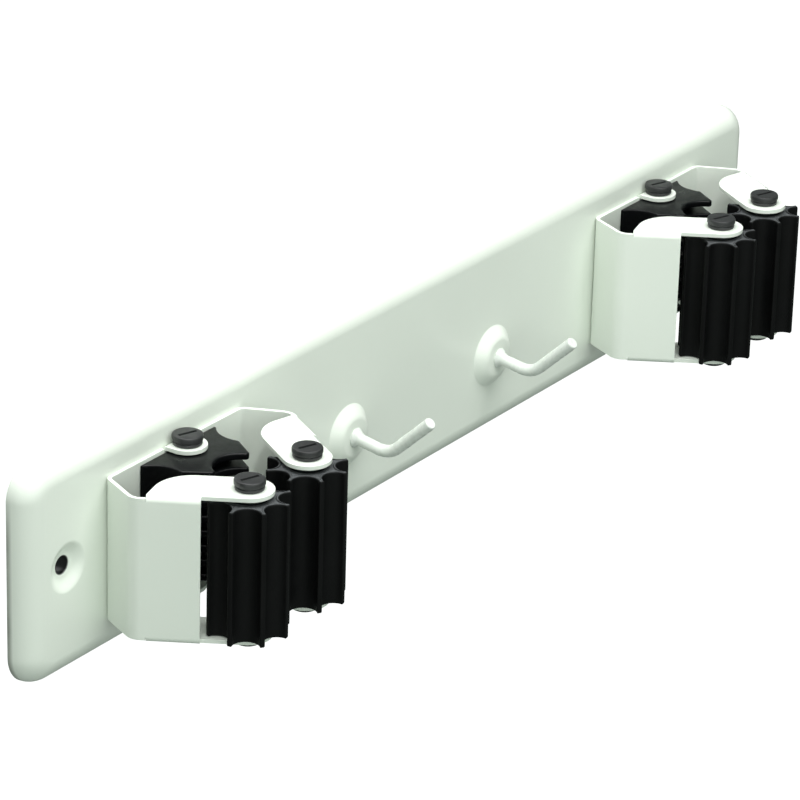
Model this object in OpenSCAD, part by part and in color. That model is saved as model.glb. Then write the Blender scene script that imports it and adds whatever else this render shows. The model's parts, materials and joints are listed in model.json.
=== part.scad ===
// Wall rail with two sprung roller grips and two small hooks.
// Frame: X runs along the rail, +Y points into the wall, +Z is up.
// Origin: centre of the rail's back plane, where it meets the wall.

/* [Rail] */
// Overall length of the rail
rail_l = 508; // [500:1:560]
// Overall height of the rail
rail_h = 90; // [84:1:110]
// How far the rail's front face stands off the wall
rail_d = 10; // [9:0.5:12]
// Thickness of the rail's sheet
rail_t = 1.6; // [1.2:0.1:2]
// Radius of the four corners, seen from the front
corner_r = 14; // [13:1:20]
// Distance between the two wall screws
screw_pitch = 462; // [456:1:464]
// Diameter of the wall screw holes
screw_hole_d = 7; // [5:0.5:8]
// Outer diameter of the dished recess round each wall screw
dish_d = 20; // [17:1:22]
// Depth of the dished recess
dish_depth = 2.8; // [1.5:0.1:3.2]
// Length of the turned-in collar behind each wall screw hole
hole_collar = 2.7; // [1:0.1:4]

/* [Hooks] */
// Distance between the two hooks
hook_pitch = 103; // [90:1:120]
// Shift of the pair of hooks along the rail
hook_shift = -2.4; // [-4:0.1:4]
// Height of the hooks, measured from the rail's middle
hook_z = -9.5; // [-14:0.5:0]
// Diameter of the hook rod
hook_rod_d = 4.8; // [4:0.1:5.5]
// Length of the hook's first leg, from the boss to the bend
hook_leg = 16.5; // [12:0.5:22]
// Length of the hook's second leg, from the bend to the tip
hook_tip = 27; // [20:0.5:34]
// Upward angle of the second leg
hook_angle = 44; // [30:1:60]
// Diameter of the pressed boss that carries each hook
boss_d = 25.6; // [22:0.2:30]
// Height of the pressed boss
boss_h = 4; // [2:0.1:4.4]
// Diameter of the flat on the boss
boss_flat_d = 16; // [12:0.5:20]

/* [Brackets] */
// Distance between the two brackets
bracket_pitch = 335; // [330:1:338]
// Thickness of the bracket's sheet
brk_t = 1.6; // [1.2:0.1:2]
// Height of the top of the upper tabs
tab_top = 29; // [28:0.5:31]
// Height of the underside of the lower tabs
tab_bottom = -30.5; // [-32:0.5:-29]
// How far the wall's edges stop short of the tabs' outer faces
edge_drop = 1.0; // [0.6:0.1:1.4]
// Half-width of the flat back of the bracket
back_w = 41.2; // [39:0.1:43]
// Half-width of the bracket at its widest
wide_w = 49.9; // [48:0.1:52]
// Distance from the rail to the bracket's widest line
wide_y = 18.4; // [17:0.1:20]
// Half-width between the arms at their front edges
front_w = 36.7; // [36:0.1:38]
// Distance from the rail to the arms' front edges
front_y = 40.3; // [39:0.1:41]

/* [Rollers] */
// Half the distance between the two rollers of a bracket
roller_x = 17.95; // [17:0.05:19]
// Distance from the rail to the rollers' axes
roller_y = 48.6; // [48:0.1:50]
// Radius over the roller's ribs
roller_r = 16.2; // [14:0.1:16.4]
// Number of ribs on a roller
rib_count = 8; // [8:1:8]
// Radius of the round grooves between the ribs
flute_r = 5.2; // [4.8:0.1:5.4]
// Distance from the roller's axis to the centre of a groove
flute_c = 15.9; // [15.4:0.1:16.4]
// Turn of the ribs away from the X axis
rib_phase = 34; // [0:1:44]
// Length of a roller
roller_len = 54.5; // [50:0.5:55]

/* [Pins] */
// Diameter of a pin's shank
pin_d = 6; // [5:0.5:6.5]
// Diameter of a pin's head
head_d = 12; // [10:0.5:12.5]
// Height of a pin's head
head_h = 4.2; // [3:0.1:5]
// Distance from the rail to the saddle's pin
saddle_pin_y = 6.4; // [6.2:0.1:8]

/* [Saddles] */
// Height of the rubber saddle
saddle_h = 44.8; // [44.8:0.1:44.8]
// Half-width of the saddle's back
saddle_w = 22.8; // [21:0.1:24]
// Thickness of one fin
fin_t = 2.8; // [2.4:0.1:3]
// Gap between two fins
fin_gap = 3.2; // [3:0.1:3.4]
// Number of fins
fin_count = 8; // [8:1:8]

/* [Hidden] */
$fn = 96;

lip_r = rail_d;                     // the rolled edge is a full quarter round
bracket_x = bracket_pitch / 2;
hook_x = hook_pitch / 2;
screw_x = screw_pitch / 2;
fold_r = 2.4;                       // outer radius of the fold between wall and tab
fold_leg = 0.8;                     // straight leg on each side of a fold
fit = 0.05;                         // radial running clearance
rivet_x = 32;                       // rivets, either side of a bracket's middle
rivet_z = -0.75;
rivet_r = 2;
rivet_head_r = 4;
rivet_head_h = 1.2;
tab_r = 9.2;                        // rounded end of a front tab, about its pin
rear_r = 7.6;                       // rounded end of the rear tab, about its pin
ear_r = 15.2;                       // large round lobe of a front tab
ear_c = [33.6, 34.6];
back_bend = 3.5;                    // outer bend radius, back to side wall
side_bend = 6.5;                    // outer bend radius, side wall to arm
bush_r = 4.3;                       // outside of the roller's core bush
roller_z = tab_bottom + brk_t + 0.15;
cap_r = 5.5;
cap_h = 3.0;
tail = 2.2;                         // pin shank below the lower tab
saddle_top = tab_top - brk_t - 0.6;
saddle_back = brk_t + 0.1;

// ---------- frame helpers ----------
// Work in "out" space: x along the rail, y up, z out of the wall.
module from_wall() { rotate([90, 0, 0]) children(); }
// Work in plan space: x along the rail, y away from the rail's front face.
module on_rail(x = 0) { translate([x, -rail_d, 0]) mirror([0, 1, 0]) children(); }

function unit(v) = v / norm(v);
function left_normal(d) = [-d[1], d[0]];

// ---------- rail ----------
// A shallow dish with rounded edges: l x h, depth d, plan corner rc, edge round re.
module dish_solid(l, h, d, rc, re) {
    cx = l / 2 - rc;
    cy = h / 2 - rc;
    // middle, full depth
    translate([-cx, -cy, 0]) cube([2 * cx, 2 * cy, d]);
    // four straight edges
    for (s = [-1, 1]) {
        translate([-cx, 0, 0]) rotate([90, 0, 90]) linear_extrude(2 * cx)
            scale([s, 1]) translate([cy, 0]) edge_profile(rc, d, re);
        translate([0, cy, 0]) rotate([90, 0, 0]) linear_extrude(2 * cy)
            scale([s, 1]) translate([cx, 0]) edge_profile(rc, d, re);
    }
    // four corners
    for (sx = [-1, 1], sy = [-1, 1])
        translate([sx * cx, sy * cy, 0])
            rotate([0, 0, sx > 0 ? (sy > 0 ? 0 : 270) : (sy > 0 ? 90 : 180)])
                rotate_extrude(angle = 90) edge_profile(rc, d, re);
}
// Cross-section of the edge, from its inner boundary outwards.
module edge_profile(w, d, re) {
    square([w - re, d]);
    if (d > re) square([w, d - re]);
    intersection() {
        translate([w - re, d - re]) circle(re);
        translate([w - re, d - re]) square(re + 1);
    }
}

module plate_blank() {
    difference() {
        dish_solid(rail_l, rail_h, rail_d, corner_r, lip_r);
        translate([0, 0, -1])
            dish_solid(rail_l - 2 * rail_t, rail_h - 2 * rail_t, rail_d - rail_t + 1, corner_r - rail_t, lip_r - rail_t);
    }
}

// Round pressing with rounded shoulders: r1 at the foot, r2 at the flat, height h.
module press(r1, r2, h) {
    rotate_extrude() polygon([[0, 0], [r1, 0], [r1 - 0.10 * (r1 - r2), 0.05 * h],
        [r1 - 0.25 * (r1 - r2), 0.18 * h], [r1 - 0.75 * (r1 - r2), 0.82 * h],
        [r1 - 0.90 * (r1 - r2), 0.95 * h], [r2, h], [0, h]]);
}

module wall_plate() {
    color("#e9ece6") from_wall() difference() {
        union() {
            plate_blank();
            for (s = [-1, 1]) {
                // hook boss, pressed outwards
                translate([s * hook_x + hook_shift, hook_z, rail_d]) press(boss_d / 2, boss_flat_d / 2, boss_h);
                // screw dish, pressed inwards
                translate([s * screw_x, 0, rail_d - rail_t]) mirror([0, 0, 1]) press(dish_d / 2 - 0.8, 5.5, dish_depth);
                // collar round the screw hole
                translate([s * screw_x, 0, rail_d - rail_t - dish_depth - hole_collar]) cylinder(h = hole_collar + 0.1, r = screw_hole_d / 2 + 1.2);
            }
        }
        for (s = [-1, 1]) {
            translate([s * hook_x + hook_shift, hook_z, rail_d - rail_t - 0.01]) press(boss_d / 2 - 1.4, boss_flat_d / 2 - 1.1, boss_h);
            translate([s * hook_x + hook_shift, hook_z, 0]) cylinder(h = 20, r = hook_rod_d / 2 + fit);
            translate([s * screw_x, 0, rail_d + 0.01]) mirror([0, 0, 1]) press(dish_d / 2, 5.2, dish_depth);
            translate([s * screw_x, 0, 0]) cylinder(h = 20, r = screw_hole_d / 2);
            for (k = [-1, 1])
                translate([s * bracket_x + k * rivet_x, rivet_z, 0]) cylinder(h = 20, r = rivet_r + fit);
        }
    }
}

// ---------- hooks ----------
// Profile plane: y up, z out of the wall; the bend is a true torus section.
module hook(s) {
    r = hook_rod_d / 2;
    bend = 11;                                  // centre-line radius of the bend
    dip = 9.5;                                  // the first leg drops a little
    turn = hook_angle + dip;
    tl = bend * tan(turn / 2);
    z0 = rail_d + boss_h;
    color("#eef0eb") from_wall() translate([s * hook_x + hook_shift, hook_z, z0]) {
        // collar on the boss
        rotate_extrude() polygon([[0, 0], [4.1, 0], [4.1, 0.7], [3.7, 1.4], [3.0, 2.1], [0, 2.1]]);
        // tail through the plate, closed over behind
        translate([0, 0, -rail_t - 1.6]) cylinder(h = rail_t + 1.7, r = r - 0.04);
        translate([0, 0, -rail_t - 1.6]) rotate_extrude() polygon([[0, 0], [2.6, 0], [3.8, 0.6], [3.8, 1.5], [0, 1.5]]);
        rotate([dip, 0, 0]) {
            translate([0, 0, 0.6]) cylinder(h = hook_leg - tl - 0.54, r = r);
            translate([0, bend, hook_leg - tl]) rotate([90, 0, -90])
                rotate_extrude(angle = turn) translate([bend, 0]) circle(r + 0.03);
            translate([0, 0, hook_leg]) rotate([-turn, 0, 0]) translate([0, 0, tl - 0.06])
                cylinder(h = hook_tip - tl + 0.06, r = r);
        }
    }
}
module left_hook() { hook(-1); }
module right_hook() { hook(1); }

// ---------- brackets ----------
A1 = [back_w, 0];
A2 = [wide_w, wide_y];
A3 = [front_w, front_y];
d0 = [1, 0];
d1 = unit(A2 - A1);
d2 = unit(A3 - A2);
n0 = left_normal(d0);
n1 = left_normal(d1);
n2 = left_normal(d2);
function bend_t(r, a, b) = r * tan(acos(a * b) / 2);
t1 = bend_t(back_bend, d0, d1);
t2 = bend_t(side_bend, d1, d2);
arm_len = norm(A3 - A2);
fold_s = 5.5;                                   // where the tab's fold starts along the arm

module strip(p, q, n, t) { polygon([p, q, q + n * t, p + n * t]); }
// Plan path of one side of the sheet, from the flat back to the arm's front
// edge, a distance t inside the sheet's outer face.
th1 = atan2(d1[1], d1[0]);
th2 = atan2(d2[1], d2[0]);
back_c = A1 - d0 * t1 + n0 * back_bend;
side_cc = A2 - d1 * t2 + n1 * side_bend;
function sheet_path(t) = concat(
    [for (i = [0 : 8]) let (a = th1 * i / 8) back_c + (back_bend - t) * [sin(a), -cos(a)]],
    [for (i = [0 : 10]) let (a = th1 + (th2 - th1) * i / 10) side_cc + (side_bend - t) * [sin(a), -cos(a)]],
    [A3 + n2 * t]);
function rev(l) = [for (i = [len(l) - 1 : -1 : 0]) l[i]];
function flip(l) = [for (p = l) [-p[0], p[1]]];
module wall_profile() {
    polygon(concat(sheet_path(0), rev(sheet_path(brk_t)), flip(sheet_path(brk_t)), flip(rev(sheet_path(0)))));
}
module fold_zone() {
    translate([-rear_r, -1]) square([2 * rear_r, 4]);
    for (m = [0, 1]) mirror([m, 0])
        strip(A2 + d2 * fold_s - n2, A3 + d2 - n2, n2, 4);
}

// Front tab in plan: a large round ear blended into the round end over the pin.
C2 = [roller_x, roller_y];
ear_d = norm(C2 - ear_c);
ear_a = atan2(C2[1] - ear_c[1], C2[0] - ear_c[0]);
ear_b = acos((ear_r - tab_r) / ear_d);
ear_n = [cos(ear_a + ear_b), sin(ear_a + ear_b)];
edge_p = A2 + n2 * fold_r;                      // start of the tab's straight edge
tip_s = (C2 - edge_p) * d2;                     // where the round end takes over
tip_off = (C2 - edge_p) * n2;                   // pin to straight edge
root_p = edge_p + d2 * fold_s;                  // where the tab starts along the arm
root_v = root_p - ear_c;
root_a = atan2(root_v[1], root_v[0]) - acos(ear_r / norm(root_v));
module front_tab() {
    difference() {
        union() {
            polygon([root_p, root_p + d2 * 14, ear_c, ear_c + ear_r * [cos(root_a), sin(root_a)]]);
            intersection() {
                translate(ear_c) circle(ear_r);
                polygon([edge_p - d2 * 5, edge_p + d2 * tip_s, edge_p + d2 * tip_s + n2 * 40, edge_p - d2 * 5 + n2 * 40]);
            }
            translate(C2) circle(tab_r);
            polygon([ear_c, ear_c + ear_n * ear_r, C2 + ear_n * tab_r, C2]);
            polygon([root_p, edge_p + d2 * tip_s, C2, ear_c]);
        }
        translate(C2) circle(pin_d / 2 + fit);
    }
}
module rear_tab() {
    difference() {
        union() {
            translate([-rear_r, fold_r]) square([2 * rear_r, saddle_pin_y - fold_r]);
            intersection() {
                translate([0, saddle_pin_y]) circle(rear_r);
                translate([-20, saddle_pin_y]) square([40, 20]);
            }
        }
        translate([0, saddle_pin_y]) circle(pin_d / 2 + fit);
    }
}
// Quarter-round fold with a short leg on each side, local x along the edge,
// y inwards, top at z = 0. It stands proud of both sheets by g.
module fold(len, g = 0) {
    rotate([90, 0, 90]) linear_extrude(len) {
        translate([fold_r, -fold_r]) intersection() {
            difference() { circle(fold_r + g); circle(fold_r - brk_t - g); }
            translate([-fold_r - 1, 0]) square(fold_r + 1);
        }
        translate([-g, -fold_r - fold_leg]) square([brk_t + 2 * g, fold_leg]);
        translate([fold_r, -brk_t - g]) square([fold_leg, brk_t + 2 * g]);
    }
}
module tab_set() {
    translate([0, 0, -brk_t]) linear_extrude(brk_t) {
        rear_tab();
        for (m = [0, 1]) mirror([m, 0]) front_tab();
    }
    translate([-rear_r, 0, 0]) fold(2 * rear_r);
    for (m = [0, 1]) mirror([m, 0, 0])
        translate([A2[0] + d2[0] * (fold_s - 0.05), A2[1] + d2[1] * (fold_s - 0.05), 0])
            rotate([0, 0, atan2(d2[1], d2[0])]) fold(arm_len - fold_s + 0.08, 0.03);
}
module bracket(s) {
    color("#e3e8e1") on_rail(s * bracket_x) difference() {
        union() {
            translate([0, 0, tab_bottom + fold_r]) linear_extrude(tab_top - tab_bottom - 2 * fold_r) wall_profile();
            for (z = [tab_top - fold_r, tab_bottom + edge_drop])
                translate([0, 0, z]) linear_extrude(fold_r - edge_drop) difference() { wall_profile(); fold_zone(); }
            translate([0, 0, tab_top]) tab_set();
            translate([0, 0, tab_bottom]) mirror([0, 0, 1]) tab_set();
        }
        for (k = [-1, 1]) translate([k * rivet_x, 5, rivet_z]) rotate([90, 0, 0]) cylinder(h = 8, r = rivet_r + fit);
    }
}
module left_bracket() { bracket(-1); }
module right_bracket() { bracket(1); }

// Rivets: flat head inside the bracket, closed head behind the plate.
module bracket_rivets(s) {
    color("#d5d9d4") on_rail(s * bracket_x) for (k = [-1, 1])
        translate([k * rivet_x, -rail_t - rivet_head_h, rivet_z]) rotate([-90, 0, 0]) {
            cylinder(h = rail_t + brk_t + 2 * rivet_head_h, r = rivet_r);
            cylinder(h = rivet_head_h, r = rivet_head_r - 0.6);
            translate([0, 0, rivet_head_h + rail_t + brk_t]) rotate_extrude()
                polygon([[0, 0], [rivet_head_r, 0], [rivet_head_r, 0.4], [rivet_head_r - 1, 1.0], [1.6, rivet_head_h], [0, rivet_head_h]]);
        }
}
module left_bracket_rivets() { bracket_rivets(-1); }
module right_bracket_rivets() { bracket_rivets(1); }

// ---------- rubber rollers ----------
module roller(bx, px) {
    color("#1b1c1e") on_rail(bx) translate([px, roller_y, roller_z]) linear_extrude(roller_len)
        difference() {
            circle(roller_r);
            for (i = [0 : rib_count - 1])
                rotate(rib_phase + (i + 0.5) * 360 / rib_count) translate([flute_c, 0]) circle(flute_r);
            circle(bush_r);
        }
}
module left_outer_roller() { roller(-bracket_x, -roller_x); }
module left_inner_roller() { roller(-bracket_x, roller_x); }
module right_inner_roller() { roller(bracket_x, -roller_x); }
module right_outer_roller() { roller(bracket_x, roller_x); }

// Stiff bush moulded into the roller's core; it runs on the pin.
module bush(bx, px) {
    color("#8f9296") on_rail(bx) translate([px, roller_y, roller_z - 0.1]) difference() {
        cylinder(h = roller_len + 0.6, r = bush_r);
        translate([0, 0, -1]) cylinder(h = roller_len + 3, r = pin_d / 2 + fit);
    }
}
module left_outer_bush() { bush(-bracket_x, -roller_x); }
module left_inner_bush() { bush(-bracket_x, roller_x); }
module right_inner_bush() { bush(bracket_x, -roller_x); }
module right_outer_bush() { bush(bracket_x, roller_x); }

// ---------- pins and caps ----------
module pin(bx, px, py) {
    span = tab_top - tab_bottom;
    color("#26282a") on_rail(bx) translate([px, py, tab_top]) difference() {
        rotate_extrude() polygon([
            [0, -span - tail], [pin_d / 2 - 0.5, -span - tail], [pin_d / 2, -span - tail + 0.5],
            [pin_d / 2, 0], [head_d / 2 - 0.7, 0], [head_d / 2 - 0.35, 0.35], [head_d / 2 - 0.35, 1.2],
            [head_d / 2 - 0.75, 1.5], [head_d / 2 - 0.75, 1.9], [head_d / 2, 2.2],
            [head_d / 2, head_h - 0.7], [head_d / 2 - 0.25, head_h - 0.2], [head_d / 2 - 0.8, head_h], [0, head_h]]);
        // driver slot
        rotate([0, 0, 20]) translate([-4, -0.7, head_h - 0.9]) cube([8, 1.4, 2]);
    }
}
module left_outer_pin() { pin(-bracket_x, -roller_x, roller_y); }
module left_inner_pin() { pin(-bracket_x, roller_x, roller_y); }
module right_inner_pin() { pin(bracket_x, -roller_x, roller_y); }
module right_outer_pin() { pin(bracket_x, roller_x, roller_y); }
module left_saddle_pin() { pin(-bracket_x, 0, saddle_pin_y); }
module right_saddle_pin() { pin(bracket_x, 0, saddle_pin_y); }

// Push-on caps that hold the pins from below.
module cap() {
    difference() {
        rotate_extrude() polygon([[0, -cap_h], [cap_r - 1, -cap_h], [cap_r - 0.3, -cap_h + 0.4],
            [cap_r, -cap_h + 1], [cap_r, 0], [0, 0]]);
        translate([0, 0, -tail - 0.1]) cylinder(h = tail + 1, r = pin_d / 2 + 0.02);
    }
}
module pin_caps(s) {
    color("#26282a") on_rail(s * bracket_x) {
        translate([0, saddle_pin_y, tab_bottom]) cap();
        for (k = [-1, 1]) translate([k * roller_x, roller_y, tab_bottom]) cap();
    }
}
module left_pin_caps() { pin_caps(-1); }
module right_pin_caps() { pin_caps(1); }

// ---------- rubber saddles ----------
cradle_c = [0, 31];
cradle_r = 10.5;
side_c = [30, 13];
side_r = 12.6;
tip_r = 1.75;
tip_c = [10.6, 25.1];
module saddle_profile() {
    difference() {
        union() {
            polygon([[-saddle_w, saddle_back], [saddle_w, saddle_back], [saddle_w, 3.6], [18.1, 16.8],
                [12.7, 25], [-12.7, 25], [-18.1, 16.8], [-saddle_w, 3.6]]);
            for (k = [-1, 1]) translate([k * tip_c[0], tip_c[1]]) circle(tip_r);
        }
        translate(cradle_c) circle(cradle_r);
        for (k = [-1, 1]) translate([k * side_c[0], side_c[1]]) circle(side_r);
        translate([0, saddle_pin_y]) circle(pin_d / 2 + 0.02);
    }
}
module saddle(s) {
    color("#17181a") on_rail(s * bracket_x) translate([0, 0, saddle_top - saddle_h]) difference() {
        linear_extrude(saddle_h) saddle_profile();
        for (i = [1 : fin_count - 1])
            translate([-30, 14.5, i * (fin_t + fin_gap) - fin_gap]) cube([60, 20, fin_gap]);
    }
}
module left_saddle() { saddle(-1); }
module right_saddle() { saddle(1); }

wall_plate();
left_hook();
right_hook();
left_bracket();
right_bracket();
left_bracket_rivets();
right_bracket_rivets();
left_saddle();
right_saddle();
left_saddle_pin();
right_saddle_pin();
left_outer_roller();
left_inner_roller();
right_inner_roller();
right_outer_roller();
left_outer_bush();
left_inner_bush();
right_inner_bush();
right_outer_bush();
left_outer_pin();
left_inner_pin();
right_inner_pin();
right_outer_pin();
left_pin_caps();
right_pin_caps();
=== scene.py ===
import json
import math
import bpy
import bmesh
from mathutils import Matrix, Vector


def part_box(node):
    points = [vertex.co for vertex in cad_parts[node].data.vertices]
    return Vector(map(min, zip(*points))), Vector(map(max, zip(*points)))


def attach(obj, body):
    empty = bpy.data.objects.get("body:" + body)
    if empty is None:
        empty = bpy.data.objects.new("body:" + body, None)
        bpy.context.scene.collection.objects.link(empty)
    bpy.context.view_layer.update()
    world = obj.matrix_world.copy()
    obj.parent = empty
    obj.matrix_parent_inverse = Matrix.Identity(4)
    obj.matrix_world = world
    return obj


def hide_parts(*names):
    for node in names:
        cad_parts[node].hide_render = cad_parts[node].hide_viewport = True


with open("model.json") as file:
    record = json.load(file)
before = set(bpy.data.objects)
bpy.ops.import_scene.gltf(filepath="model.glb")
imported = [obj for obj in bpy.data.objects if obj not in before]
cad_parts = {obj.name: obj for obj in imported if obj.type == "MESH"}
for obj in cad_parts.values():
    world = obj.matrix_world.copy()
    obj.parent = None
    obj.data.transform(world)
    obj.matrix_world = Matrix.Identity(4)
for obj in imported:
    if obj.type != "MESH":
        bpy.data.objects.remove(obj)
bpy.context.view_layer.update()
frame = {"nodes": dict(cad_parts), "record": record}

nodes = frame["nodes"]
scene = bpy.context.scene
scene.view_settings.view_transform = "Standard"
scene.view_settings.look = "None"

MM = 0.001
RAIL_D = 10.0
SIDES = {"left": -167.5, "right": 167.5}


# ---------------------------------------------------------------- camera
def make_camera():
    az, el, roll = math.radians(55.899), math.radians(23.608), math.radians(1.606)
    f, tx, ty, dist = 4342.994, -1.908, -14.277, 1768.676
    d = Vector((math.sin(az) * math.cos(el), math.cos(az) * math.cos(el), -math.sin(el)))
    r = Vector((math.cos(az), -math.sin(az), 0))
    u = r.cross(d)
    r2 = r * math.cos(roll) + u * math.sin(roll)
    u2 = u * math.cos(roll) - r * math.sin(roll)
    cam = bpy.data.cameras.new("camera")
    cam.sensor_width = 36
    cam.lens = 36 * f / 800
    cam.clip_start, cam.clip_end = 0.05, 60
    ob = bpy.data.objects.new("camera", cam)
    scene.collection.objects.link(ob)
    m = Matrix((r2, u2, -d)).transposed().to_4x4()
    m.translation = (r2 * tx + u2 * ty - d * dist) * MM
    ob.matrix_world = m
    scene.camera = ob


make_camera()


# ---------------------------------------------------------------- studio
def look_at(ob, target):
    ob.rotation_mode = "QUATERNION"
    ob.rotation_quaternion = (Vector(target) - ob.location).to_track_quat("-Z", "Y")


def area(name, loc, target, size, power, colour=(1, 1, 1), size_y=None):
    li = bpy.data.lights.new(name, "AREA")
    li.energy = power
    li.color = colour
    li.shape = "RECTANGLE"
    li.size = size
    li.size_y = size_y or size
    ob = bpy.data.objects.new(name, li)
    scene.collection.objects.link(ob)
    ob.location = loc
    look_at(ob, target)
    return ob


def studio():
    w = bpy.data.worlds.new("studio")
    scene.world = w
    w.use_nodes = True
    bg = w.node_tree.nodes["Background"]
    bg.inputs[0].default_value = (0.86, 1.0, 0.91, 1)
    bg.inputs[1].default_value = 0.20
    area("top_softbox", (-0.12, -0.30, 1.20), (0, -0.03, 0), 1.3, 23, size_y=1.0)
    area("back_softbox", (-0.10, 0.45, 1.10), (0, -0.03, 0), 1.3, 5, size_y=0.8)
    area("left_fill", (-1.60, -0.95, 0.25), (0, 0, 0), 1.6, 8.4, colour=(0.93, 1.0, 0.95))
    area("front_fill", (-0.45, -1.70, 0.45), (-0.1, 0, 0), 1.6, 8.8, colour=(0.93, 1.0, 0.95), size_y=1.2)
    area("under_fill", (-0.35, -0.70, -1.10), (0, -0.03, 0), 1.2, 0.8, colour=(0.93, 1.0, 0.95))
    area("rear_fill", (0.60, 1.80, 0.40), (0, 0, 0), 1.4, 6.0, colour=(0.95, 1.0, 0.96))
    # a narrow lamp for each bracket, into the open pocket beside its saddle
    for side, x in SIDES.items():
        li = bpy.data.lights.new(side + "_snoot", "SPOT")
        li.energy = 6.2 if side == "left" else 2.8
        li.color = (0.95, 1.0, 0.96)
        li.spot_size = math.radians(4.6)
        li.spot_blend = 0.75
        li.shadow_soft_size = 0.03
        ob = bpy.data.objects.new(li.name, li)
        scene.collection.objects.link(ob)
        aim = (x * MM + 0.039, -0.016, 0.011)
        ob.location = (aim[0] - 0.30, aim[1] - 0.27, aim[2] + 0.44)
        look_at(ob, aim)
    bm = bmesh.new()
    n, half, z = 48, 40.0, -3.2
    ring = [bm.verts.new((half * math.cos(2 * math.pi * i / n), half * math.sin(2 * math.pi * i / n), z)) for i in range(n)]
    bm.faces.new(ring)
    me = bpy.data.meshes.new("floor")
    bm.to_mesh(me)
    bm.free()
    ob = bpy.data.objects.new("floor", me)
    scene.collection.objects.link(ob)
    m = bpy.data.materials.new("floor_paper")
    m.use_nodes = True
    b = m.node_tree.nodes["Principled BSDF"]
    b.inputs["Base Color"].default_value = (0.80, 0.81, 0.80, 1)
    b.inputs["Roughness"].default_value = 0.9
    b.inputs["Emission Color"].default_value = (1, 1, 1, 1)
    # white paper all round, a little greyer straight below so that a view from
    # above still shows the outline; it throws no light back up at the part
    nt = m.node_tree
    co = nt.nodes.new("ShaderNodeTexCoord")
    ln = nt.nodes.new("ShaderNodeVectorMath")
    ln.operation = "LENGTH"
    nt.links.new(co.outputs["Object"], ln.inputs[0])
    mr = nt.nodes.new("ShaderNodeMapRange")
    mr.inputs["From Min"].default_value = 4.4
    mr.inputs["From Max"].default_value = 5.15
    mr.inputs["To Min"].default_value = 0.60
    mr.inputs["To Max"].default_value = 0.97
    nt.links.new(ln.outputs["Value"], mr.inputs["Value"])
    nt.links.new(mr.outputs[0], b.inputs["Emission Strength"])
    me.materials.append(m)
    ob.visible_diffuse = False
    ob.visible_glossy = False


studio()


# ---------------------------------------------------------------- materials
class Mat:
    """A small helper round a node tree whose coordinates are the piece's own."""

    def __init__(self, name):
        self.m = bpy.data.materials.new(name)
        self.m.use_nodes = True
        self.nt = self.m.node_tree
        self.b = self.nt.nodes["Principled BSDF"]
        self.co = self.nt.nodes.new("ShaderNodeTexCoord").outputs["Object"]

    def link(self, a, b):
        self.nt.links.new(a, b)

    def noise(self, scale, detail=3.0, rough=0.55, stretch=None):
        n = self.nt.nodes.new("ShaderNodeTexNoise")
        n.inputs["Scale"].default_value = scale
        n.inputs["Detail"].default_value = detail
        n.inputs["Roughness"].default_value = rough
        src = self.co
        if stretch:
            mp = self.nt.nodes.new("ShaderNodeMapping")
            mp.inputs["Scale"].default_value = stretch
            self.link(src, mp.inputs["Vector"])
            src = mp.outputs[0]
        self.link(src, n.inputs["Vector"])
        return n.outputs["Fac"]

    def ramp(self, fac, lo, hi, a=(0, 0, 0), b=(1, 1, 1)):
        r = self.nt.nodes.new("ShaderNodeValToRGB")
        r.color_ramp.elements[0].position = lo
        r.color_ramp.elements[1].position = hi
        r.color_ramp.elements[0].color = (*a, 1)
        r.color_ramp.elements[1].color = (*b, 1)
        self.link(fac, r.inputs[0])
        return r.outputs[0]

    def span(self, fac, lo, hi, a=0.0, b=1.0):
        r = self.nt.nodes.new("ShaderNodeMapRange")
        r.inputs["From Min"].default_value = lo
        r.inputs["From Max"].default_value = hi
        r.inputs["To Min"].default_value = a
        r.inputs["To Max"].default_value = b
        self.link(fac, r.inputs["Value"])
        return r.outputs[0]

    def mix(self, fac, a, b, mode="MIX"):
        n = self.nt.nodes.new("ShaderNodeMix")
        n.data_type = "RGBA"
        n.blend_type = mode
        if isinstance(fac, float):
            n.inputs[0].default_value = fac
        else:
            self.link(fac, n.inputs[0])
        for v, s in ((a, n.inputs[6]), (b, n.inputs[7])):
            if isinstance(v, tuple):
                s.default_value = (*v, 1)
            else:
                self.link(v, s)
        return n.outputs[2]

    def bump(self, chain):
        last = None
        for height, strength, distance in chain:
            n = self.nt.nodes.new("ShaderNodeBump")
            n.inputs["Strength"].default_value = strength
            n.inputs["Distance"].default_value = distance
            self.link(height, n.inputs["Height"])
            if last:
                self.link(last, n.inputs["Normal"])
            last = n.outputs[0]
        self.link(last, self.b.inputs["Normal"])

    def pointy(self):
        g = self.nt.nodes.new("ShaderNodeNewGeometry")
        return g.outputs["Pointiness"]


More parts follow.
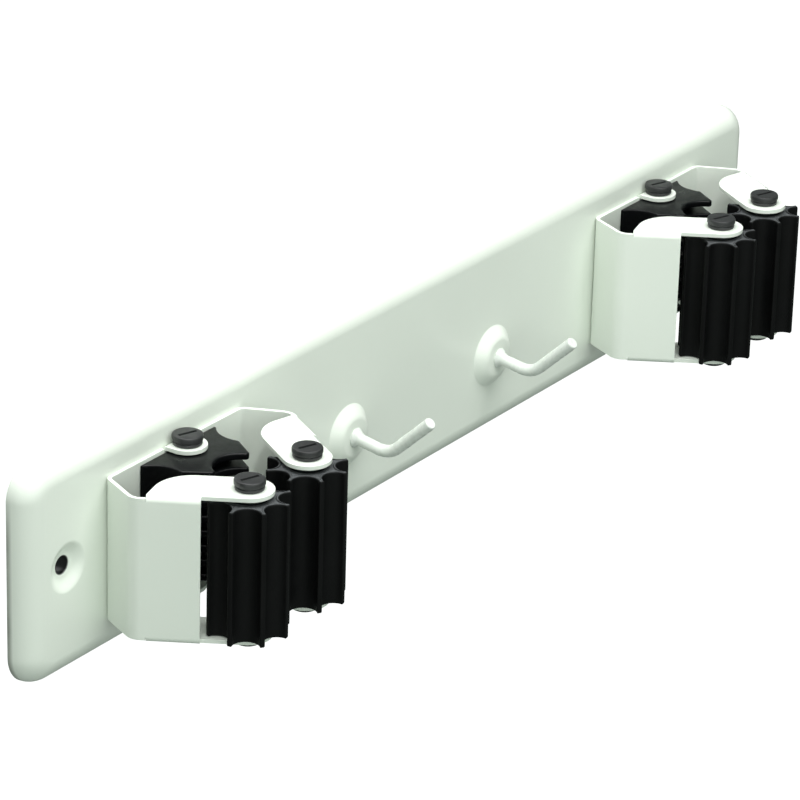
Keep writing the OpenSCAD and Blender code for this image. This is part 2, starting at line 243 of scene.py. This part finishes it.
def powder_coat(name, base, dark, gloss=0.34, bores=None):
    k = Mat(name)
    cloud = k.noise(9, 3)
    fine = k.noise(420, 2)
    col = k.mix(k.span(cloud, 0.35, 0.7), base, dark)
    # a few paler, thinner spots in the coat
    spot = k.span(k.noise(150, 4, 0.7), 0.68, 0.8)
    col = k.mix(spot, col, tuple(min(1, c * 1.03) for c in base))
    if bores:
        # painted shade: near-black inside the punched screw holes, where no light gets into the bore
        sep = k.nt.nodes.new("ShaderNodeSeparateXYZ")
        k.link(k.co, sep.inputs[0])

        def calc(op, a, b=None):
            n = k.nt.nodes.new("ShaderNodeMath")
            n.operation = op
            for v, i in ((a, 0), (b, 1)):
                if isinstance(v, float):
                    n.inputs[i].default_value = v
                elif v is not None:
                    k.link(v, n.inputs[i])
            return n.outputs[0]

        dx = calc("SUBTRACT", calc("ABSOLUTE", sep.outputs[0]), bores[0])
        dist = calc("SQRT", calc("ADD", calc("MULTIPLY", dx, dx), calc("MULTIPLY", sep.outputs[2], sep.outputs[2])))
        # darker along the edge that meets the wall, fading out towards the top: painted shade of the lip's underside,
        # partly the thin, rubbed coat at the raw edge
        rub_and_edge_shade = calc("MULTIPLY", k.span(k.noise(60, 3), 0.2, 0.8, 0.55, 1.0), k.span(sep.outputs[2], 0.018, 0.034, 1.0, 0.0))
        col = k.mix(calc("MULTIPLY", k.span(sep.outputs[1], -0.0024, -0.0007, 0.0, 1.0), rub_and_edge_shade), col, (0.27, 0.28, 0.25))
        # painted shade inside the screw holes
        col = k.mix(k.span(dist, bores[1] + 0.0001, bores[1] + 0.0005, 1.0, 0.0), col, (0.012, 0.013, 0.013))
    k.link(col, k.b.inputs["Base Color"])
    k.link(k.span(fine, 0.3, 0.7, gloss - 0.05, gloss + 0.07), k.b.inputs["Roughness"])
    k.b.inputs["IOR"].default_value = 1.5
    k.b.inputs["Coat Weight"].default_value = 0.25
    k.b.inputs["Coat Roughness"].default_value = 0.18
    k.bump([(k.noise(700, 2, 0.5), 0.05, 0.0004), (k.noise(120, 2), 0.05, 0.0008)])
    return k.m


def rubber(name, base, pale, rough=0.5, grain=1500, bump=0.12, dust=0.25, spec=0.4, ends=None, side_spec=0.0):
    k = Mat(name)
    cloud = k.noise(45, 4, 0.6)
    col = k.mix(k.span(cloud, 0.3, 0.75), base, pale)
    if ends:
        # the flat ends are paler than the moulded sides: partly the duller cut rubber, partly painted light that makes
        # the tops read lit from above
        sep = k.nt.nodes.new("ShaderNodeSeparateXYZ")
        k.link(k.nt.nodes.new("ShaderNodeNewGeometry").outputs["True Normal"], sep.inputs[0])
        ab = k.nt.nodes.new("ShaderNodeMath")
        ab.operation = "ABSOLUTE"
        k.link(sep.outputs[2], ab.inputs[0])
        speck = k.mix(k.span(k.noise(800, 4, 0.7), 0.35, 0.65), tuple(c * 0.75 for c in ends), tuple(c * 1.3 for c in ends))
        col = k.mix(k.span(ab.outputs[0], 0.75, 0.98), col, speck)
    motes = k.span(k.noise(620, 5, 0.75), 0.64, 0.78, 0.0, dust)
    col = k.mix(motes, col, tuple(c * 3.2 for c in pale))
    k.link(col, k.b.inputs["Base Color"])
    k.link(k.span(k.noise(160, 4, 0.65), 0.3, 0.7, rough - 0.1, rough + 0.12), k.b.inputs["Roughness"])
    k.b.inputs["IOR"].default_value = 1.5
    k.b.inputs["Specular IOR Level"].default_value = spec
    if side_spec:
        k.link(k.span(ab.outputs[0], 0.5, 0.95, side_spec, spec), k.b.inputs["Specular IOR Level"])
    k.bump([(k.noise(grain, 3, 0.6), bump, 0.0003), (k.noise(210, 3), bump, 0.0005)])
    return k.m


def plastic(name, base, pale, rough=0.38):
    k = Mat(name)
    col = k.mix(k.span(k.noise(90, 3), 0.35, 0.7), base, pale)
    scuff = k.span(k.noise(700, 3, 0.7, stretch=(1, 1, 0.25)), 0.6, 0.75, 0.0, 0.35)
    col = k.mix(scuff, col, tuple(c * 1.9 for c in pale))
    k.link(col, k.b.inputs["Base Color"])
    k.link(k.span(k.noise(300, 3), 0.3, 0.7, rough - 0.07, rough + 0.1), k.b.inputs["Roughness"])
    k.bump([(k.noise(1100, 3, 0.6), 0.15, 0.0002)])
    return k.m


COAT = powder_coat("white_powder_coat", (0.81, 0.86, 0.785), (0.79, 0.842, 0.768))
COAT_RAIL = powder_coat("white_powder_coat_rail", (0.82, 0.868, 0.79), (0.795, 0.845, 0.77), bores=(0.231, 0.0035))
COAT_ROD = powder_coat("white_rod_coat", (0.72, 0.757, 0.71), (0.69, 0.73, 0.685), 0.28)
# the roller's pale ends colour is partly painted light on their tops
RUBBER = rubber("black_roller_rubber", (0.0034, 0.0036, 0.0036), (0.0052, 0.0054, 0.0056), 0.48, spec=0.11, ends=(0.080, 0.085, 0.088))
SADDLE = rubber("black_saddle_rubber", (0.0022, 0.0024, 0.0027), (0.0046, 0.0050, 0.0056), 0.36, 1100, 0.08, 0.12, spec=0.26, ends=(0.004, 0.0046, 0.0048), side_spec=0.06)
PIN = plastic("charcoal_pin_plastic", (0.018, 0.0185, 0.019), (0.027, 0.028, 0.029))
BUSH = plastic("grey_bush_plastic", (0.19, 0.20, 0.21), (0.25, 0.26, 0.27), 0.42)
RIVET = powder_coat("coated_rivet", (0.74, 0.78, 0.74), (0.70, 0.745, 0.70), 0.3)


# ---------------------------------------------------------------- pieces
record = frame["record"]
BODY = {n: b for b, ns in record["behaviour"]["bodies"].items() for n in ns}


def piece(name, bm, mat, node, smooth=True):
    """Turns a bmesh in millimetres into a shown piece that stands for a CAD node."""
    bmesh.ops.scale(bm, vec=(MM, MM, MM), verts=bm.verts)
    me = bpy.data.meshes.new(name)
    bm.to_mesh(me)
    bm.free()
    for f in me.polygons:
        f.use_smooth = smooth
    me.materials.append(mat)
    ob = bpy.data.objects.new(name, me)
    scene.collection.objects.link(ob)
    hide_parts(node)
    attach(ob, BODY[node])
    return ob


def rings(bm, loops, close_ends=True, wrap=False):
    """Skins a list of equal closed loops of points."""
    vs = [[bm.verts.new(p) for p in lp] for lp in loops]
    n = len(loops[0])
    pairs = list(zip(vs, vs[1:])) + ([(vs[-1], vs[0])] if wrap else [])
    for a, b in pairs:
        for i in range(n):
            bm.faces.new((a[i], a[(i + 1) % n], b[(i + 1) % n], b[i]))
    if close_ends and not wrap:
        bm.faces.new(vs[0][::-1])
        bm.faces.new(vs[-1])
    return vs


def finish_mesh(ob, bevel=0.0, angle=40, solid=0.0, segments=2):
    if solid:
        m = ob.modifiers.new("sheet", "SOLIDIFY")
        m.thickness = solid * MM
        m.offset = -1
        m.use_even_offset = True
        m.use_quality_normals = True
    if bevel:
        m = ob.modifiers.new("edge", "BEVEL")
        m.width = bevel * MM
        m.segments = segments
        m.limit_method = "ANGLE"
        m.angle_limit = math.radians(angle)
    m = ob.modifiers.new("normals", "WEIGHTED_NORMAL")
    m.weight = 60
    m.keep_sharp = False


def world_of(side_x, p, z):
    """Plan coordinates (along the rail, out of the rail's face) to the row frame, in mm."""
    return (side_x + p[0], -RAIL_D - p[1], z)


# ---- rollers
def rib_profile():
    """The ribbed outline, with the corners of the ribs rounded."""
    R, c, r, n, phase = 16.15, 15.9, 5.2, 8, 34.0
    alpha = math.acos((R * R + c * c - r * r) / (2 * R * c))
    a0 = math.atan2(R * math.sin(alpha), R * math.cos(alpha) - c)
    dense = []
    for k in range(n):
        g = math.radians(phase) + (k + 0.5) * 2 * math.pi / n
        for i in range(60):                                     # groove, from its low-angle side up
            t = -a0 - (2 * math.pi - 2 * a0) * i / 60
            x, y = c + r * math.cos(t), r * math.sin(t)
            dense.append((x * math.cos(g) - y * math.sin(g), x * math.sin(g) + y * math.cos(g)))
        land = 2 * math.pi / n - 2 * alpha
        for i in range(8):
            t = g + alpha + land * i / 8
            dense.append((R * math.cos(t), R * math.sin(t)))
    # even steps, then a short running mean
    pts = [Vector(p) for p in dense]
    steps = [(pts[(i + 1) % len(pts)] - p).length for i, p in enumerate(pts)]
    total = sum(steps)
    count = n * 60
    out, i, acc = [], 0, 0.0
    for k in range(count):
        want = total * k / count
        while acc + steps[i] < want:
            acc += steps[i]
            i += 1
        out.append(pts[i].lerp(pts[(i + 1) % len(pts)], (want - acc) / steps[i]))
    w = [math.exp(-(j * total / count) ** 2 / (2 * 0.28 ** 2)) for j in range(-4, 5)]
    sm = [sum((out[(k + j) % count] * w[j + 4] for j in range(-4, 5)), Vector((0, 0))) / sum(w) for k in range(count)]
    keep = sm[::2]
    m = len(keep)
    nrm = []
    for k in range(m):
        t = keep[(k + 1) % m] - keep[k - 1]
        nrm.append(Vector((t.y, -t.x)).normalized())
    if nrm[0].dot(keep[0]) < 0:
        nrm = [-v for v in nrm]
    return keep, nrm


RIB, RIB_N = rib_profile()


def roller(name, side_x, px):
    lo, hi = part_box(name)
    z0, z1 = lo.z * 1000, hi.z * 1000
    cx, cy = px, 48.6
    bm = bmesh.new()
    loops = []

    def loop(inset, z):
        loops.append([world_of(side_x, (cx + p.x - v.x * inset, cy + p.y - v.y * inset), z) for p, v in zip(RIB, RIB_N)])

    def ring(t, rad, z):
        row = []
        for p in RIB:
            q = p.normalized() * rad
            m = p.lerp(q, t) if t < 1 else q
            row.append(world_of(side_x, (cx + m.x, cy + m.y), z))
        loops.append(row)

    bore, hub = 4.32, 7.3
    rr = 0.75
    # bottom end, outwards
    ring(1, bore, z0)
    ring(1, hub - 0.4, z0)
    ring(1, hub, z0 + 0.35)
    ring(0.35, hub, z0 + 0.35)
    for k in range(5):
        a = math.radians(90 * k / 4)
        loop(rr * (1 - math.sin(a)), z0 + rr * (1 - math.cos(a)))
    for k in range(1, 6):
        loop(0, z0 + rr + (z1 - z0 - 2 * rr) * k / 6)
    for k in range(5):
        a = math.radians(90 * (4 - k) / 4)
        loop(rr * (1 - math.sin(a)), z1 - rr * (1 - math.cos(a)))
    ring(0.35, hub, z1 - 0.35)
    ring(1, hub, z1 - 0.35)
    ring(1, hub - 0.4, z1)
    ring(1, bore, z1)
    rings(bm, loops, wrap=True)
    bmesh.ops.recalc_face_normals(bm, faces=bm.faces)
    ob = piece(name + "_rubber", bm, RUBBER, name)
    finish_mesh(ob)
    return ob


for side, x in SIDES.items():
    for where, px in (("outer", -17.95), ("inner", 17.95)) if side == "left" else (("inner", -17.95), ("outer", 17.95)):
        roller(f"{side}_{where}_roller", x, px)


# ---- brackets
def V2(x, y):
    return Vector((x, y))


BRK_T, FOLD_R = 1.6, 2.4
TAB_TOP, TAB_BOTTOM, DROP = 29.0, -30.5, 1.0
A1, A2, A3 = V2(41.2, 0), V2(49.9, 18.4), V2(36.7, 40.3)
D0, D1, D2 = V2(1, 0), (A2 - A1).normalized(), (A3 - A2).normalized()
N0, N1, N2 = (V2(-d.y, d.x) for d in (D0, D1, D2))
PIN2, EAR, EAR_R = V2(17.95, 48.6), V2(33.6, 34.6), 15.2
REAR_R, REAR_Y, TAB_R = 7.6, 6.4, 9.2
ROOT = 5.5


def half_path():
    """Outer face of the sheet from the middle of the back to the arm's front edge."""
    th1, th2 = math.atan2(D1.y, D1.x), math.atan2(D2.y, D2.x)
    rb, rs = 3.5, 6.5
    t1, t2 = rb * math.tan(th1 / 2), rs * math.tan((th2 - th1) / 2)
    c1, c2 = A1 - D0 * t1 + N0 * rb, A2 - D1 * t2 + N1 * rs
    path = [(V2(x, 0), N0, "rear" if x <= REAR_R else "wall") for x in (0, REAR_R / 2, REAR_R, REAR_R + 0.12, 14, 20, 26, 32)]

    def arc(c, r, a, b, k):
        for i in range(k + 1):
            t = a + (b - a) * i / k
            path.append((c + V2(math.sin(t), -math.cos(t)) * r, V2(-math.sin(t), math.cos(t)), "wall"))

    arc(c1, rb, 0, th1, 8)
    a, b = path[-1][0], A2 - D1 * t2
    path.append((a.lerp(b, 0.5), N1, "wall"))
    arc(c2, rs, th1, th2, 12)
    path.append((A2 + D2 * (ROOT - 0.12), N2, "wall"))
    length = (A3 - A2).length
    for i in range(7):
        path.append((A2 + D2 * (ROOT + (length - ROOT) * i / 6), N2, "arm"))
    return path


def tab_outline():
    """From the arm's front edge round the pin and the ear, back to the tab's root on the arm."""
    edge = A2 + N2 * FOLD_R
    tip_s = (PIN2 - edge).dot(D2)
    off = (PIN2 - edge).dot(N2)
    out = []
    # round end: starts square to the straight edge, runs to the tangent with the ear
    gap = PIN2 - EAR
    ang = math.atan2(gap.y, gap.x) + math.acos((EAR_R - off) / gap.length)
    start = math.atan2(-N2.y, -N2.x)
    end = ang
    while end < start:
        end += 2 * math.pi
    for i in range(27):
        t = start + (end - start) * i / 26
        out.append(PIN2 + V2(math.cos(t), math.sin(t)) * off)
    root = edge + D2 * ROOT
    rv = root - EAR
    ra = math.atan2(rv.y, rv.x) - math.acos(EAR_R / rv.length)
    stop = ra
    while stop < end:
        stop += 2 * math.pi
    for i in range(23):
        t = end + (stop - end) * i / 22
        out.append(EAR + V2(math.cos(t), math.sin(t)) * EAR_R)
    return out


def bracket(name, side_x):
    bm = bmesh.new()
    half = half_path()
    path = [(V2(-p.x, p.y), V2(-n.x, n.y), k, -1) for p, n, k in half[:0:-1]] + [(p, n, k, 1) for p, n, k in half]
    low, high = TAB_BOTTOM + FOLD_R, TAB_TOP - FOLD_R
    zs = [low + (high - low) * i / 8 for i in range(9)]
    cols = [[bm.verts.new(world_of(side_x, p, z)) for z in zs] for p, n, k, m in path]
    ends = {}
    for up, z0, z1, row in ((1, high, TAB_TOP - DROP, -1), (-1, low, TAB_BOTTOM + DROP, 0)):
        ext = [bm.verts.new(world_of(side_x, p, z1)) if k == "wall" else None for p, n, k, m in path]
        arcs = []
        for i, (p, n, k, m) in enumerate(path):
            if k == "wall":
                arcs.append(None)
                continue
            a = [cols[i][row]]
            for j in range(1, 8):
                t = math.radians(90 * j / 7)
                a.append(bm.verts.new(world_of(side_x, p + n * FOLD_R * (1 - math.cos(t)), z0 + up * FOLD_R * math.sin(t))))
            arcs.append(a)
        edges = {"rear": [], 1: [], -1: []}
        for i in range(len(path) - 1):
            k0, k1 = path[i][2], path[i + 1][2]
            if k0 == k1 == "wall":
                bm.faces.new((cols[i][row], cols[i + 1][row], ext[i + 1], ext[i]))
            elif k0 == k1:
                for j in range(7):
                    bm.faces.new((arcs[i][j], arcs[i + 1][j], arcs[i + 1][j + 1], arcs[i][j + 1]))
                edges["rear" if k0 == "rear" else path[i][3]].append((arcs[i][-1], arcs[i + 1][-1]))
        z = z0 + up * FOLD_R

        def chain(points, a, b):
            """Edges from vertex a through new points to vertex b."""
            vs = [a] + [bm.verts.new(world_of(side_x, p, z)) for p in points] + [b]
            return [bm.edges.new((vs[i], vs[i + 1])) for i in range(len(vs) - 1)]

        def hole(c, r):
            vs = [bm.verts.new(world_of(side_x, c + V2(math.cos(2 * math.pi * i / 32), math.sin(2 * math.pi * i / 32)) * r, z)) for i in range(32)]
            return [bm.edges.new((vs[i], vs[(i + 1) % 32])) for i in range(32)]

        pinr = 3.05
        for m in (1, -1):
            base = edges[m]
            tips = [v for e in base for v in e]
            front = arcs[-1][-1] if m == 1 else arcs[0][-1]
            outer = [v for v in tips]
            idx = [i for i, q in enumerate(path) if q[2] == "arm" and q[3] == m]
            root = arcs[idx[0] if m == 1 else idx[-1]][-1]
            pts = [V2(m * q.x, q.y) for q in tab_outline()]
            loop = chain(pts, front, root)
            loop += [bm.edges.get(e) for e in base]
            loop += hole(V2(m * PIN2.x, PIN2.y), pinr)
            bmesh.ops.triangle_fill(bm, use_beauty=True, use_dissolve=False, edges=loop)
        idx = [i for i, q in enumerate(path) if q[2] == "rear"]
        a, b = arcs[idx[0]][-1], arcs[idx[-1]][-1]
        pts = [V2(REAR_R * math.cos(math.pi * i / 24), REAR_Y + REAR_R * math.sin(math.pi * i / 24)) for i in range(25)]
        loop = chain(pts, b, a) + [bm.edges.get(e) for e in edges["rear"]] + hole(V2(0, REAR_Y), pinr)
        bmesh.ops.triangle_fill(bm, use_beauty=True, use_dissolve=False, edges=loop)
    for i in range(len(path) - 1):
        for j in range(8):
            bm.faces.new((cols[i][j], cols[i + 1][j], cols[i + 1][j + 1], cols[i][j + 1]))
    bmesh.ops.recalc_face_normals(bm, faces=bm.faces)
    bm.normal_update()
    # the sheet's outside is the side that faces away from the bracket's middle
    c = Vector(world_of(side_x, (0, 24), 0))
    vote = sum(f.normal.dot(f.calc_center_median() - c) * f.calc_area() for f in bm.faces)
    if vote < 0:
        bmesh.ops.reverse_faces(bm, faces=bm.faces)
    ob = piece(name + "_sheet", bm, COAT, name)
    finish_mesh(ob, bevel=0.42, angle=48, solid=BRK_T, segments=3)
    return ob


for side, x in SIDES.items():
    bracket(f"{side}_bracket", x)


# ---- rail
def smooth(t):
    t = min(1.0, max(0.0, t))
    return t * t * (3 - 2 * t)


def rail():
    L, H, D, T, RC, RL = 508.0, 90.0, 10.0, 1.6, 14.0, 10.0
    bm = bmesh.new()

    def outline(inset, y):
        pts = []
        r = RC - inset
        for qx, qz, a0 in ((1, 1, 0), (-1, 1, 90), (-1, -1, 180), (1, -1, 270)):
            cx, cz = qx * (L / 2 - RC), qz * (H / 2 - RC)
            for i in range(17):
                a = math.radians(a0 + 90 * i / 16)
                pts.append((cx + r * math.cos(a), y, cz + r * math.sin(a)))
        # points along the straight runs
        out = []
        n = len(pts)
        for i, p in enumerate(pts):
            out.append(p)
            q = pts[(i + 1) % n]
            d = math.dist(p, q)
            if i % 17 == 16:
                k = 40 if i // 17 in (0, 2) else 8
                for j in range(1, k):
                    t = j / k
                    out.append(tuple(a + (b - a) * t for a, b in zip(p, q)))
        return out

    loops = [outline(0, 0)]
    for i in range(1, 15):
        a = math.radians(90 * i / 14)
        loops.append(outline(RL * (1 - math.cos(a)), -RL * math.sin(a)))
    vs = rings(bm, loops, close_ends=False)
    edges = [bm.edges.get((vs[-1][i], vs[-1][(i + 1) % len(vs[-1])])) for i in range(len(vs[-1]))]
    # rings of each pressing, outermost first: radius and height over the rail's face
    dish = [(10.4 - 5.7 * i / 16, -2.8 * smooth(i / 16)) for i in range(17)]
    dish += [(4.1, -2.84), (3.72, -3.0), (3.54, -3.3), (3.5, -3.7), (3.5, -4.6), (3.5, -5.6), (3.5, -6.8), (3.5, -8.4)]
    boss = [(13.3 - 6.1 * i / 18, 4.0 * (0.72 * math.sin(math.pi / 2 * i / 18) + 0.28 * smooth(i / 18))) for i in range(19)]
    boss += [(6.6, 4.0), (5.6, 4.0), (4.6, 4.0), (3.2, 4.0), (2.45, 4.0)]
    n = 72
    for cx, cz, prof in [(sx * 231.0, 0.0, dish) for sx in (-1, 1)] + [(sx * 51.5 - 2.4, -9.5, boss) for sx in (-1, 1)]:
        prev = None
        for r, h in prof:
            row = [bm.verts.new((cx + r * math.cos(2 * math.pi * i / n), -D - h, cz + r * math.sin(2 * math.pi * i / n))) for i in range(n)]
            if prev is None:
                edges += [bm.edges.new((row[i], row[(i + 1) % n])) for i in range(n)]
            else:
                for i in range(n):
                    bm.faces.new((prev[i], prev[(i + 1) % n], row[(i + 1) % n], row[i]))
            prev = row
    bmesh.ops.triangle_fill(bm, use_beauty=True, use_dissolve=False, edges=edges)
    bmesh.ops.recalc_face_normals(bm, faces=bm.faces)
    bm.normal_update()
    if sum(f.normal.y * f.calc_area() for f in bm.faces) > 0:
        bmesh.ops.reverse_faces(bm, faces=bm.faces)
    ob = piece("rail_sheet", bm, COAT_RAIL, "wall_plate")
    finish_mesh(ob, bevel=0.4, angle=48, solid=T, segments=2)
    return ob


rail()


# ---- hooks
def hook(name, sx):
    r, bend, dip, ang, leg, tip = 2.5, 11.0, 9.5, 44.0, 16.5, 27.0
    turn = ang + dip
    tl = bend * math.tan(math.radians(turn / 2))
    bm = bmesh.new()
    # centre line in the hook's own plane: o = out of the wall, h = up
    line = [(-3.2, 0, 2.2, 0), (-3.2, 0, 3.0, 0), (-2.9, 0, 3.6, 0), (-2.3, 0, 3.8, 0), (-1.75, 0, 3.8, 0), (-1.65, 0, 2.4, 0), (-0.05, 0, 2.4, 0)]
    for o, rad in ((0.0, 4.1), (0.3, 4.08), (0.7, 3.85), (1.1, 3.5), (1.5, 3.15), (2.0, 2.82), (2.6, 2.58), (3.2, 2.46)):
        t = dip * smooth(o / 3.2)
        line.append((o, -o * math.tan(math.radians(t)), rad, -t))
    dr = math.radians(-dip)
    for i in range(1, 5):
        d = 3.3 + (leg - tl - 3.3) * i / 4
        line.append((d * math.cos(dr), d * math.sin(dr), r, -dip))
    o0, h0 = (leg - tl) * math.cos(dr), (leg - tl) * math.sin(dr)
    cx, cy = o0 - bend * math.sin(dr), h0 + bend * math.cos(dr)
    for i in range(1, 17):
        a = math.radians(-dip + turn * i / 16)
        line.append((cx + bend * math.sin(a), cy - bend * math.cos(a), r, -dip + turn * i / 16))
    o1, h1 = line[-1][0], line[-1][1]
    ar = math.radians(ang)
    run = tip - tl
    for i in range(1, 7):
        d = (run - 0.7) * i / 6
        line.append((o1 + d * math.cos(ar), h1 + d * math.sin(ar), r, ang))
    for k in range(1, 6):
        t = math.radians(90 * k / 5)
        d = run - 0.7 + 0.7 * math.sin(t)
        line.append((o1 + d * math.cos(ar), h1 + d * math.sin(ar), r - 0.7 * (1 - math.cos(t)), ang))
    n = 40
    loops = []
    for o, h, rad, tilt in line:
        t = math.radians(tilt)
        lp = []
        for i in range(n):
            a = 2 * math.pi * i / n
            u, v = math.cos(a) * rad, math.sin(a) * rad        # u along x, v along the section's up
            lp.append((sx + u, -(RAIL_D + 4.0 + o - v * math.sin(t)), -9.5 + h + v * math.cos(t)))
        loops.append(lp)
    rings(bm, loops)
    bmesh.ops.recalc_face_normals(bm, faces=bm.faces)
    ob = piece(name + "_rod", bm, COAT_ROD, name)
    finish_mesh(ob, bevel=0.15, angle=55, segments=2)
    return ob


hook("left_hook", -53.9)
hook("right_hook", 49.1)


# ---- saddles: the moulded part, its edges softened
def saddle(name):
    me = nodes[name].data.copy()
    bm = bmesh.new()
    bm.from_mesh(me)
    bmesh.ops.remove_doubles(bm, verts=bm.verts, dist=2e-6)
    bmesh.ops.scale(bm, vec=(1000, 1000, 1000), verts=bm.verts)
    ob = piece(name + "_rubber", bm, SADDLE, name)
    for p in ob.data.polygons:
        p.use_smooth = True
    m = ob.modifiers.new("remesh", "REMESH")
    m.mode = "VOXEL"
    m.voxel_size = 0.42 * MM
    m.use_smooth_shade = True
    m = ob.modifiers.new("soften", "SMOOTH")
    m.factor = 0.5
    m.iterations = 5
    return ob


saddle("left_saddle")
saddle("right_saddle")


# ---- small CAD pieces keep their own shape, with softened edges
def dress(name, mat, width=0.25, angle=35):
    ob = nodes[name]
    ob.data.materials.clear()
    ob.data.materials.append(mat)
    for p in ob.data.polygons:
        p.material_index = 0
        p.use_smooth = True
    m = ob.modifiers.new("weld", "WELD")
    m.merge_threshold = 2e-6
    m = ob.modifiers.new("bevel", "BEVEL")
    m.width = width * MM
    m.segments = 2
    m.limit_method = "ANGLE"
    m.angle_limit = math.radians(angle)
    m = ob.modifiers.new("normals", "WEIGHTED_NORMAL")
    m.weight = 60


for n in nodes:
    if "bush" in n:
        dress(n, BUSH)
    elif n.endswith("_pin") or "caps" in n:
        dress(n, PIN)
    elif "rivets" in n:
        dress(n, RIVET)
